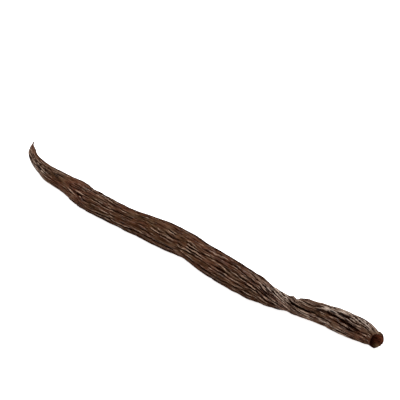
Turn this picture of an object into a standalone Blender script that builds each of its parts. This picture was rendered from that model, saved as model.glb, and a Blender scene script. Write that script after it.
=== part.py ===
"""A cured vanilla pod lying on a table, as one solid.

The pod is a long oval tube. It starts in a thin hooked tip, swells at a knuckle, kinks a little in the middle,
is widest past the kink, is wrung to a narrow waist, swells once more and ends in a neck with a flared collar
round a hollow scar. Furrows run along it and turn with the wring. Its underside is pressed flat on the table.
"""

import math

import bmesh
import bpy
from mathutils import Vector, noise

MM = 0.001

# Sizes are in millimetres and angles in degrees. Distances run along the pod's midline from its tip.

# The midline: distance, x, y and height above the table.
MIDLINE = (
    (0.0, -74.4, 4.5, 5.0),
    (1.4, -73.9, 3.2, 4.4),
    (3.0, -72.4, 1.6, 4.0),
    (6.0, -69.8, -0.4, 3.6),
    (11.0, -65.1, -1.9, 2.9),
    (18.0, -58.4, -2.9, 2.5),
    (28.0, -48.4, -3.2, 2.8),
    (35.0, -41.4, -4.1, 2.9),
    (41.0, -35.4, -4.3, 3.0),
    (56.0, -20.4, -3.3, 3.0),
    (62.0, -14.5, -2.4, 3.1),
    (70.0, -6.5, -1.6, 3.3),
    (79.0, 2.5, -0.8, 3.4),
    (87.0, 10.5, -1.5, 3.5),
    (96.0, 19.4, -1.8, 3.5),
    (112.0, 35.4, -1.6, 3.1),
    (120.0, 43.3, -0.1, 2.8),
    (130.0, 52.8, 2.9, 2.8),
    (136.0, 58.7, 3.9, 3.0),
    (142.0, 64.7, 4.4, 3.1),
    (147.0, 69.7, 4.4, 3.5),
    (150.8, 73.4, 3.5, 4.1),
)

# Half of the pod's width over its ridges, as seen half from above: distance and half width.
HALF_WIDTH = (
    (0.0, 0.26),
    (1.3, 0.32),
    (1.9, 0.6),
    (2.8, 0.95),
    (4.0, 1.3),
    (6.0, 1.45),
    (10.0, 1.9),
    (14.0, 2.3),
    (18.0, 2.8),
    (26.0, 3.15),
    (33.0, 3.75),
    (40.0, 4.0),
    (47.0, 3.85),
    (56.0, 3.88),
    (70.0, 4.48),
    (82.0, 4.25),
    (95.0, 4.52),
    (107.0, 4.22),
    (113.0, 3.45),
    (119.5, 2.62),
    (124.0, 2.95),
    (131.0, 3.33),
    (138.0, 3.7),
    (143.0, 3.5),
    (147.0, 3.07),
    (149.0, 2.6),
    (150.8, 2.5),
)
WIDE = 1.12
HIGH = 0.86
ROUND_FROM = 140.0
ROUND_TO = 148.0

# How far before and after a place the midline is read to find its direction there.
AIM_REACH = 0.5

# How far the grain of the skin has turned about the midline: distance and degrees.
TWIST = (
    (0.0, 0.0),
    (12.0, -5.0),
    (29.0, 0.0),
    (36.0, -12.0),
    (60.0, -8.0),
    (76.0, 12.0),
    (86.0, 9.0),
    (104.0, -2.0),
    (109.0, 4.0),
    (113.0, 22.0),
    (118.0, 58.0),
    (122.0, 90.0),
    (126.0, 116.0),
    (131.0, 124.0),
    (140.0, 142.0),
    (150.8, 167.0),
)

# The small furrows that cover the whole pod: distance and depth.
SMALL_DEPTH = (
    (0.0, 0.0),
    (3.0, 0.1),
    (12.0, 0.3),
    (30.0, 0.5),
    (60.0, 0.5),
    (100.0, 0.55),
    (113.0, 0.6),
    (126.0, 0.6),
    (140.0, 0.55),
    (147.0, 0.3),
    (150.8, 0.08),
)
SMALL_FREQUENCY = 2.7
SMALL_LENGTH = 13.0
SMALL_STEEPNESS = 2.8
SMALL_ROUNDING = 0.7
SOLE_SMOOTHING = 0.75
SOLE_FROM = 0.55
SOLE_TO = 0.95

# Where the skin is drawn tight along the flanks: angle, reach round, and share of the small relief that is gone.
DRAWN_TIGHT = (
    (50.0, 24.0, 0.5),
    (218.0, 30.0, 0.5),
)

# The large furrows: depth, half width, and the distance and angle round the pod of the places each passes.
# The hook and the knuckle come first, then the long middle, the shoulder with its wring, and the last lobe.
LARGE_FURROWS = (
    (0.4, 0.35, ((8.5, 99.0), (14.0, 112.0), (22.5, 128.0))),
    (0.35, 0.3, ((10.5, 134.0), (16.5, 134.0), (21.5, 148.0))),
    (0.35, 0.3, ((17.0, 91.0), (20.5, 96.0), (27.0, 99.0))),
    (0.35, 0.35, ((30.0, 92.0), (36.0, 88.0), (38.5, 93.0))),
    (0.5, 0.35, ((28.0, 108.0), (31.5, 118.0), (36.5, 105.0))),
    (0.6, 0.4, ((29.0, 126.0), (34.0, 134.0), (38.0, 126.0))),
    (0.35, 0.3, ((29.0, 139.0), (36.0, 148.0))),
    (0.35, 0.35, ((36.5, 133.0), (40.0, 139.0), (44.0, 131.0), (49.5, 129.0))),
    (0.6, 0.35, ((36.0, 112.0), (42.0, 113.5), (48.5, 119.0), (59.0, 113.0))),
    (0.45, 0.35, ((40.0, 56.0), (44.0, 60.0), (51.0, 80.0))),
    (0.4, 0.3, ((58.5, 99.0), (68.0, 101.0))),
    (0.5, 0.4, ((44.0, 172.0), (53.0, 176.0), (64.0, 169.0), (78.0, 176.0))),
    (0.5, 0.35, ((65.0, 127.0), (71.0, 134.0), (78.0, 140.0))),
    (0.45, 0.3, ((65.0, 112.0), (72.0, 121.0))),
    (0.5, 0.3, ((70.5, 109.0), (75.0, 124.0), (78.0, 123.0))),
    (0.45, 0.35, ((80.5, 120.0), (85.0, 121.0), (92.0, 108.0), (98.0, 106.0), (103.0, 108.0))),
    (0.5, 0.35, ((80.0, 132.0), (83.0, 134.0), (90.5, 132.0))),
    (0.35, 0.3, ((79.5, 155.0), (86.0, 146.0))),
    (0.4, 0.3, ((91.0, 89.0), (99.0, 84.0), (107.0, 96.0))),
    (0.55, 0.35, ((94.0, 131.0), (101.0, 131.0))),
    (0.45, 0.3, ((100.0, 124.0), (107.5, 131.0), (111.5, 135.0))),
    (0.4, 0.35, ((99.5, 157.0), (106.0, 175.0), (110.0, 181.0))),
    (0.6, 0.35, ((99.0, 108.0), (109.0, 119.0), (113.0, 132.0), (118.5, 163.0))),
    (0.65, 0.35, ((106.5, 97.0), (110.0, 102.0), (116.5, 134.0))),
    (0.5, 0.3, ((109.0, 84.0), (111.0, 88.0), (114.5, 103.0))),
    (0.5, 0.3, ((110.5, 147.0), (112.5, 151.0), (116.0, 173.0))),
    (0.4, 0.35, ((114.0, 58.0), (116.5, 100.0))),
    (0.7, 0.4, ((119.5, 80.0), (122.0, 119.0), (126.0, 138.0), (130.0, 138.0))),
    (0.55, 0.3, ((121.0, 76.0), (126.5, 113.0))),
    (0.55, 0.35, ((121.5, 60.0), (127.5, 92.0))),
    (0.6, 0.45, ((129.0, 109.0), (136.5, 115.0), (142.0, 128.0), (145.5, 136.0))),
    (0.4, 0.35, ((128.5, 66.0), (133.5, 84.0))),
    (0.45, 0.35, ((134.5, 79.0), (139.5, 90.0), (146.0, 113.0))),
    (0.4, 0.3, ((127.5, 125.0), (130.0, 122.0), (134.0, 129.0))),
    (0.45, 0.3, ((134.0, 134.0), (141.0, 144.0), (145.0, 152.0))),
    (0.4, 0.3, ((131.0, 147.0), (136.5, 152.0))),
    (0.35, 0.35, ((131.5, 176.0), (142.0, 188.0))),
)
LARGE_TAPER = 2.5

# Swellings and dents: distance, angle round the pod, reach along, reach round in degrees, and height.
SWELLINGS = (
    (32.0, 35.0, 2.8, 45.0, 0.3),
    (37.6, 45.0, 1.4, 45.0, -0.15),
    (72.0, 60.0, 5.0, 45.0, 0.15),
    (81.0, 225.0, 1.6, 40.0, -0.1),
    (107.0, 50.0, 3.5, 40.0, 0.15),
    (120.6, 60.0, 0.8, 35.0, 0.3),
    (121.9, 60.0, 0.7, 45.0, -0.75),
    (125.0, 55.0, 1.4, 45.0, 0.3),
    (117.5, 225.0, 2.0, 45.0, 0.2),
    (120.6, 225.0, 0.9, 45.0, -0.15),
    (143.5, 55.0, 3.0, 45.0, 0.3),
)

# The scar: a flared collar round a hollow.
COLLAR_START = 149.7
COLLAR_RADIUS = 2.6
COLLAR_WALL = 0.4
COLLAR_CORNERS = 5
COLLAR_CORNER_HEIGHT = 0.14
COLLAR_TURN = 30.0
HOLLOW_DEPTH = 4.6
HOLLOW_NARROWING = 0.8

# The mesh: its sides round the pod, which follow the skin's grain and lie closer together on the upper side,
# and stretches of distance with their number of steps.
SIDES = 56
CLOSEST_AT = 115.0
CLOSENESS = 0.35
STRETCHES = (
    (0.0, 6.0, 6),
    (6.0, 27.0, 12),
    (27.0, 41.0, 12),
    (41.0, 106.0, 32),
    (106.0, 117.0, 9),
    (117.0, 127.0, 10),
    (127.0, 145.0, 9),
    (145.0, 149.7, 4),
)
HOLLOW_STEPS = 4
MERGE_DISTANCE = 0.005

POD_BROWN = (0.07, 0.035, 0.022, 1.0)
POD_ROUGHNESS = 0.45


def read_off(table, distance):
    """The values that a smooth curve through a table's rows has at a distance along the pod."""
    last = len(table) - 1
    i = max(k for k in range(last) if k == 0 or table[k][0] <= distance)

    def slope(k):
        before, after = table[max(k - 1, 0)], table[min(k + 1, last)]
        return [(b - a) / (after[0] - before[0]) for a, b in zip(before[1:], after[1:])]

    start, end = table[i], table[i + 1]
    span = end[0] - start[0]
    t = min(max((distance - start[0]) / span, 0.0), 1.0)
    ease = t * t * (3.0 - 2.0 * t)
    leave = t * (1.0 - t) ** 2 * span
    arrive = -t * t * (1.0 - t) * span
    return [
        a + (b - a) * ease + leave * m + arrive * n
        for a, b, m, n in zip(start[1:], end[1:], slope(i), slope(i + 1))
    ]


def smooth_step(low, high, value):
    t = min(max((value - low) / (high - low), 0.0), 1.0)
    return t * t * (3.0 - 2.0 * t)


def frame_at(distance):
    """The midline's point, and the directions to its left and up, at a distance."""
    middle = Vector(read_off(MIDLINE, distance))
    before = Vector(read_off(MIDLINE, max(distance - AIM_REACH, 0.0)))
    after = Vector(read_off(MIDLINE, min(distance + AIM_REACH, MIDLINE[-1][0])))
    along = (after - before).normalized()
    left = Vector((0.0, 0.0, 1.0)).cross(along).normalized()
    return middle, left, along.cross(left)


def turned_gap(first, second):
    """The angle between two directions round the pod, in degrees, from 0 to 180."""
    return abs((first - second + 180.0) % 360.0 - 180.0)


def swelling(distance, angle):
    """How far the named swellings and dents move the surface at a place."""
    total = 0.0
    for at, facing, reach, spread, height in SWELLINGS:
        off = ((distance - at) / reach) ** 2 + (turned_gap(angle, facing) / spread) ** 2
        total += height * math.exp(-off)
    return total


def relief_left(angle):
    """How much of the small relief is left: less where the skin is drawn tight or pressed on the table."""
    tight = sum(share * math.exp(-(turned_gap(angle, at) / reach) ** 2) for at, reach, share in DRAWN_TIGHT)
    return 1.0 - max(tight, SOLE_SMOOTHING * smooth_step(SOLE_FROM, SOLE_TO, -math.sin(math.radians(angle))))


def small_furrow(distance, angle):
    """How deep the small furrows, which follow the skin's grain, are at a place."""
    turned = math.radians(angle - read_off(TWIST, distance)[0])
    place = Vector((math.cos(turned), math.sin(turned), 0.0)) * SMALL_FREQUENCY
    place.z = distance / SMALL_LENGTH
    crest = min(abs(noise.noise(place)) * SMALL_STEEPNESS, 1.0) ** SMALL_ROUNDING
    return read_off(SMALL_DEPTH, distance)[0] * (1.0 - crest) * relief_left(angle)


def large_furrow(distance, angle, half):
    """How deep the large furrows are at a place, where the pod is this wide."""
    deepest = 0.0
    for depth, width, course in LARGE_FURROWS:
        first, last = course[0][0], course[-1][0]
        if not first < distance < last:
            continue
        taper = smooth_step(0.0, LARGE_TAPER, min(distance - first, last - distance))
        off = math.radians(turned_gap(angle, read_off(course, distance)[0])) * half / width
        deepest = max(deepest, depth * taper * math.exp(-off * off))
    return deepest


def skin_point(distance, angle):
    """A point of the pod's outer surface, pressed flat where it meets the table."""
    middle, left, up = frame_at(distance)
    half = read_off(HALF_WIDTH, distance)[0]
    roundness = smooth_step(ROUND_FROM, ROUND_TO, distance)
    furrows = small_furrow(distance, angle) + large_furrow(distance, angle, half)
    relief = swelling(distance, angle) - furrows
    wide = half * (WIDE + (1.0 - WIDE) * roundness) + relief
    high = half * (HIGH + (1.0 - HIGH) * roundness) + relief
    turn = math.radians(angle)
    point = middle + left * (wide * math.cos(turn)) + up * (high * math.sin(turn))
    point.z = max(point.z, 0.0)
    return point


def collar_point(distance, radius, angle):
    """A point of the collar or its hollow, which has a few blunt corners."""
    middle, left, up = frame_at(distance)
    turn = math.radians(angle)
    corners = math.cos(COLLAR_CORNERS * (turn + math.radians(COLLAR_TURN)))
    reach = radius + COLLAR_CORNER_HEIGHT * corners
    return middle + left * (reach * math.cos(turn)) + up * (reach * math.sin(turn))


def rows():
    """Each row of the surface from the tip to the hollow's floor: its distance, and its point at an angle."""
    distances = []
    for start, end, steps in STRETCHES:
        distances += [start + (end - start) * (k + 1) / steps for k in range(steps)]
    mouth = MIDLINE[-1][0]
    inner = COLLAR_RADIUS - COLLAR_WALL
    rings = [((COLLAR_START + mouth) / 2.0, COLLAR_RADIUS), (mouth, COLLAR_RADIUS), (mouth, inner)]
    for k in range(1, HOLLOW_STEPS):
        share = k / HOLLOW_STEPS
        rings.append((mouth - HOLLOW_DEPTH * share, inner * (1.0 - HOLLOW_NARROWING * share**2)))
    made = [(0.0, lambda angle: frame_at(0.0)[0])]
    made += [(d, lambda angle, d=d: skin_point(d, angle)) for d in distances]
    made += [(d, lambda angle, d=d, r=r: collar_point(d, r, angle)) for d, r in rings]
    made.append((mouth, lambda angle: frame_at(mouth - HOLLOW_DEPTH)[0]))
    return made


def side_angle(side, distance):
    """The angle round the pod of one of the mesh's sides."""
    even = 360.0 * side / SIDES + read_off(TWIST, distance)[0]
    return even - math.degrees(CLOSENESS * math.sin(math.radians(even - CLOSEST_AT)))


def build_mesh(name):
    """A flat grid is rolled up: its columns go round the pod and its rows go along it."""
    made = rows()
    last = len(made) - 1
    bm = bmesh.new()
    bmesh.ops.create_grid(bm, x_segments=last, y_segments=SIDES, size=1.0)
    for vertex in bm.verts:
        distance, point_at = made[round((vertex.co.x + 1.0) / 2.0 * last)]
        side = round((vertex.co.y + 1.0) / 2.0 * SIDES) % SIDES
        vertex.co = point_at(side_angle(side, distance)) * MM
    bmesh.ops.remove_doubles(bm, verts=bm.verts, dist=MERGE_DISTANCE * MM)
    bmesh.ops.triangulate(bm, faces=bm.faces)
    bmesh.ops.recalc_face_normals(bm, faces=bm.faces)
    mesh = bpy.data.meshes.new(name)
    bm.to_mesh(mesh)
    bm.free()
    mesh.shade_smooth()
    return mesh


def pod_material():
    material = bpy.data.materials.new("pod_skin")
    material.use_nodes = True
    shader = material.node_tree.nodes["Principled BSDF"]
    shader.inputs["Base Color"].default_value = POD_BROWN
    shader.inputs["Roughness"].default_value = POD_ROUGHNESS
    shader.inputs["Metallic"].default_value = 0.0
    return material


def main():
    for old in list(bpy.data.objects):
        bpy.data.objects.remove(old)
    collection = bpy.data.collections.new("vanilla_pod")
    bpy.context.scene.collection.children.link(collection)
    pod = bpy.data.objects.new("pod", build_mesh("pod"))
    pod.data.materials.append(pod_material())
    collection.objects.link(pod)


main()
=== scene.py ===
# %% [markdown]
# # A cured vanilla pod
# The fruit of the vanilla orchid is picked green and then cured for months. It ends up dark brown, and as
# wrinkled as a prune. This notebook dresses the plain solid of one such pod: it makes its skin again with
# far finer wrinkles, gives it a finish that changes from furrow to crest, and lights it like a photograph
# on white.
#
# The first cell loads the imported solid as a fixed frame. Its box is kept, because the dressed pod has to
# stay inside it.

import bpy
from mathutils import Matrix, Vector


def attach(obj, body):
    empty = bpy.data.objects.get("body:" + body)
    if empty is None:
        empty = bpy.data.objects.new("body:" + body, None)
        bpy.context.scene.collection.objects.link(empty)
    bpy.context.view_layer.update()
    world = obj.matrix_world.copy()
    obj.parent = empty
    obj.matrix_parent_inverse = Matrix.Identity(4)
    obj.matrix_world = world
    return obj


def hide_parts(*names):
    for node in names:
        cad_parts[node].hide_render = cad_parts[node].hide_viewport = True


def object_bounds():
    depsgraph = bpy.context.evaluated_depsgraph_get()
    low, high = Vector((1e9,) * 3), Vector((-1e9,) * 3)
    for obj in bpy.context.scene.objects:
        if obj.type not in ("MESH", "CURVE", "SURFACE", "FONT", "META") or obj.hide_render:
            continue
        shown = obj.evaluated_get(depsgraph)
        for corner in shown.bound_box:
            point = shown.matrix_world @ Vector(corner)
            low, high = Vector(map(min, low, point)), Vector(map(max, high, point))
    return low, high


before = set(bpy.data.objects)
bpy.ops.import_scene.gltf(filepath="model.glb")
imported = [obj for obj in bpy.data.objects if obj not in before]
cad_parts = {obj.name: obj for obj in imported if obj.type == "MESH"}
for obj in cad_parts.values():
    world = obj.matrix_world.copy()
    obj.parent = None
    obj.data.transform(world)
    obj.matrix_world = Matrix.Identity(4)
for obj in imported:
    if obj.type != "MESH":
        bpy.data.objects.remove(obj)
solid_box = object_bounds()
print("solid, in mm:", [[round(v * 1000.0, 2) for v in corner] for corner in solid_box])

# %% Modules and units
import functools
import math

import bmesh
import bpy
import numpy as np
from mathutils import Vector, noise

MM = 0.001
PIECE = "vanilla_pod"
print("lengths below are in millimetres and angles in degrees, times", MM, "for Blender's metres")

# %% [markdown]
# ## The camera
# The pod was photographed from above with a long lens, lying slantwise across the picture. A camera can be
# placed by its position and turned by hand, or aimed at a point. Here it is aimed: a point on the table, a
# distance, an angle round the pod and an angle above the table say all there is to say, and each can be
# changed alone.

# %% The camera
AIM = (-13.1, 22.8, 0.0)
CAMERA_DISTANCE = 448.2
CAMERA_ROUND = 41.7
CAMERA_ABOVE = 38.0
LENS = 120.0
SENSOR = 36.0
# How near the camera starts to see, as a share of its distance.
CLIP_SHARE = 0.1


def away(round_by, above_by):
    """The direction from the pod towards a place at this angle round it and this angle above the table."""
    turn, rise = math.radians(round_by), math.radians(above_by)
    return Vector((math.sin(turn) * math.cos(rise), -math.cos(turn) * math.cos(rise), math.sin(rise)))


def aim(thing, from_where, at_where):
    """Places a camera or a light and turns it to face a point."""
    thing.location = from_where
    thing.rotation_euler = (at_where - from_where).to_track_quat("-Z", "Y").to_euler()


def make_camera():
    data = bpy.data.cameras.new("camera")
    data.lens = LENS
    data.sensor_width = SENSOR
    data.clip_start = CAMERA_DISTANCE * MM * CLIP_SHARE
    camera = bpy.data.objects.new("camera", data)
    bpy.context.scene.collection.objects.link(camera)
    target = Vector(AIM) * MM
    aim(camera, target + away(CAMERA_ROUND, CAMERA_ABOVE) * CAMERA_DISTANCE * MM, target)
    bpy.context.scene.camera = camera
    return camera


camera = make_camera()
print("camera at", [round(v, 3) for v in camera.location], "with a", LENS, "mm lens")

# %% [markdown]
# ## The table and the light
# The photograph has a pure white ground and hardly a shadow. A white floor that glows a little, under an
# even sky, gives that. The wrinkles need light with a direction, so a wide softbox stands behind the pod
# and above it: every crest then catches light on its upper side and shades the furrow in front of it. The
# Standard view keeps the white floor white, where the filmic one would grey it.

# %% The table and the light
FLOOR_WIDTH = 6.0
FLOOR_DROP = 0.02
FLOOR_WHITE = (0.93, 0.93, 0.93, 1.0)
FLOOR_GLOW = 0.95
SKY_WHITE = (1.0, 1.0, 1.0, 1.0)
SKY_STRENGTH = 0.35
SOFTBOXES = (
    # name, angle round the pod, angle above the table, distance and width in metres, watts
    ("key", 200.0, 60.0, 0.9, 0.4, 5.0),
    ("top", 20.0, 85.0, 1.2, 0.9, 7.0),
)


def make_floor():
    bm = bmesh.new()
    bmesh.ops.create_grid(bm, x_segments=1, y_segments=1, size=FLOOR_WIDTH / 2.0)
    bmesh.ops.translate(bm, verts=bm.verts, vec=(0.0, 0.0, -FLOOR_DROP * MM))
    mesh = bpy.data.meshes.new("floor")
    bm.to_mesh(mesh)
    bm.free()
    material = bpy.data.materials.new("floor_white")
    material.use_nodes = True
    shader = material.node_tree.nodes["Principled BSDF"]
    shader.inputs["Base Color"].default_value = FLOOR_WHITE
    shader.inputs["Roughness"].default_value = 1.0
    shader.inputs["Specular IOR Level"].default_value = 0.0
    shader.inputs["Emission Color"].default_value = FLOOR_WHITE
    shader.inputs["Emission Strength"].default_value = FLOOR_GLOW
    mesh.materials.append(material)
    floor = bpy.data.objects.new("floor", mesh)
    bpy.context.scene.collection.objects.link(floor)


def make_sky():
    sky = bpy.data.worlds.new("sky")
    sky.use_nodes = True
    ground = sky.node_tree.nodes["Background"]
    ground.inputs["Color"].default_value = SKY_WHITE
    ground.inputs["Strength"].default_value = SKY_STRENGTH
    bpy.context.scene.world = sky


def make_softbox(name, round_by, above_by, distance, width, watts):
    data = bpy.data.lights.new(name, "AREA")
    data.size = width
    data.energy = watts
    light = bpy.data.objects.new(name, data)
    bpy.context.scene.collection.objects.link(light)
    aim(light, away(round_by, above_by) * distance, Vector((0.0, 0.0, 0.0)))
    return light


make_floor()
make_sky()
lights = [make_softbox(*row) for row in SOFTBOXES]
bpy.context.scene.view_settings.view_transform = "Standard"
print("floor", FLOOR_WIDTH, "m wide, sky and", len(lights), "softboxes")

# %% [markdown]
# ## The line that the pod follows
# The pod is a tube, thin and hooked at its tip, wrung to a waist near its other end. A tube like this could
# be a curve with a bevel, but its furrows have to follow the skin, so the form is worked out instead: a
# table gives the midline, another the half width, and a third how far the skin's grain has turned. A smooth
# curve runs through the rows of each. The tube is an oval, wider than high, and turns round towards its
# open end.

# %% The pod's line, width and grain
MIDLINE = (
    # distance from the tip, x, y and height above the table
    (0.0, -74.4, 4.5, 5.0),
    (1.4, -73.9, 3.2, 4.4),
    (3.0, -72.4, 1.6, 4.0),
    (6.0, -69.8, -0.4, 3.6),
    (11.0, -65.1, -1.9, 2.9),
    (18.0, -58.4, -2.9, 2.5),
    (28.0, -48.4, -3.2, 2.8),
    (35.0, -41.4, -4.1, 2.9),
    (41.0, -35.4, -4.3, 3.0),
    (56.0, -20.4, -3.3, 3.0),
    (62.0, -14.5, -2.4, 3.1),
    (70.0, -6.5, -1.6, 3.3),
    (79.0, 2.5, -0.8, 3.4),
    (87.0, 10.5, -1.5, 3.5),
    (96.0, 19.4, -1.8, 3.5),
    (112.0, 35.4, -1.6, 3.1),
    (120.0, 43.3, -0.1, 2.8),
    (130.0, 52.8, 2.9, 2.8),
    (136.0, 58.7, 3.9, 3.0),
    (142.0, 64.7, 4.4, 3.1),
    (147.0, 69.7, 4.4, 3.5),
    (150.8, 73.4, 3.5, 4.1),
)
HALF_WIDTH = (
    # distance, half width over the ridges
    (0.0, 0.26),
    (1.3, 0.32),
    (1.9, 0.6),
    (2.8, 0.95),
    (4.0, 1.3),
    (6.0, 1.45),
    (10.0, 1.9),
    (14.0, 2.3),
    (18.0, 2.8),
    (26.0, 3.15),
    (33.0, 3.75),
    (40.0, 4.0),
    (47.0, 3.85),
    (56.0, 3.88),
    (70.0, 4.48),
    (82.0, 4.25),
    (95.0, 4.52),
    (107.0, 4.22),
    (113.0, 3.45),
    (119.5, 2.62),
    (124.0, 2.95),
    (131.0, 3.33),
    (138.0, 3.7),
    (143.0, 3.5),
    (147.0, 3.07),
    (149.0, 2.6),
    (150.8, 2.5),
)
TWIST = (
    # distance, degrees that the grain has turned
    (0.0, 0.0),
    (12.0, -5.0),
    (29.0, 0.0),
    (36.0, -12.0),
    (60.0, -8.0),
    (76.0, 12.0),
    (86.0, 9.0),
    (104.0, -2.0),
    (109.0, 4.0),
    (113.0, 22.0),
    (118.0, 58.0),
    (122.0, 90.0),
    (126.0, 116.0),
    (131.0, 124.0),
    (140.0, 142.0),
    (150.8, 167.0),
)
WIDE = 1.12
HIGH = 0.86
ROUND_FROM = 140.0
ROUND_TO = 148.0
# How far before and after a place the midline is read to find its direction there.
AIM_REACH = 0.5


def read_off(table, distance):
    """The values that a smooth curve through a table's rows has at a distance along the pod."""
    last = len(table) - 1
    i = max(k for k in range(last) if k == 0 or table[k][0] <= distance)

    def slope(k):
        before, after = table[max(k - 1, 0)], table[min(k + 1, last)]
        return [(b - a) / (after[0] - before[0]) for a, b in zip(before[1:], after[1:])]

    start, end = table[i], table[i + 1]
    span = end[0] - start[0]
    t = min(max((distance - start[0]) / span, 0.0), 1.0)
    ease = t * t * (3.0 - 2.0 * t)
    leave = t * (1.0 - t) ** 2 * span
    arrive = -t * t * (1.0 - t) * span
    return [
        a + (b - a) * ease + leave * m + arrive * n
        for a, b, m, n in zip(start[1:], end[1:], slope(i), slope(i + 1))
    ]


def smooth_step(low, high, value):
    t = min(max((value - low) / (high - low), 0.0), 1.0)
    return t * t * (3.0 - 2.0 * t)


@functools.cache
def frame_at(distance):
    """The midline's point, and the directions to its left and up, at a distance."""
    middle = Vector(read_off(MIDLINE, distance))
    before = Vector(read_off(MIDLINE, max(distance - AIM_REACH, 0.0)))
    after = Vector(read_off(MIDLINE, min(distance + AIM_REACH, MIDLINE[-1][0])))
    along = (after - before).normalized()
    left = Vector((0.0, 0.0, 1.0)).cross(along).normalized()
    return middle, left, along.cross(left)


@functools.cache
def twist_at(distance):
    return read_off(TWIST, distance)[0]


@functools.cache
def oval_at(distance):
    """Half of the tube's width and of its height."""
    half = read_off(HALF_WIDTH, distance)[0]
    roundness = smooth_step(ROUND_FROM, ROUND_TO, distance)
    return half * (WIDE + (1.0 - WIDE) * roundness), half * (HIGH + (1.0 - HIGH) * roundness)


LENGTH = MIDLINE[-1][0]
print("midline", LENGTH, "mm long; the grain turns", TWIST[-1][1], "degrees on the way")

# %% [markdown]
# ## The furrows
# As a pod dries, its skin becomes too large for it and gathers in furrows along its length. Three sorts
# show. Deep ones have a place and a course of their own, so they are listed. A few raised cords stand
# between them and are listed too. The countless small ones are drawn from noise: where smooth noise passes
# through nought its size makes a sharp valley, and noise that is stretched along the grain makes that
# valley a furrow. Noise also lets every furrow and cord stray a little from its course. The skin is drawn
# tight along both flanks and is pressed on the table, and there the small furrows are shallower.

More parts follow.
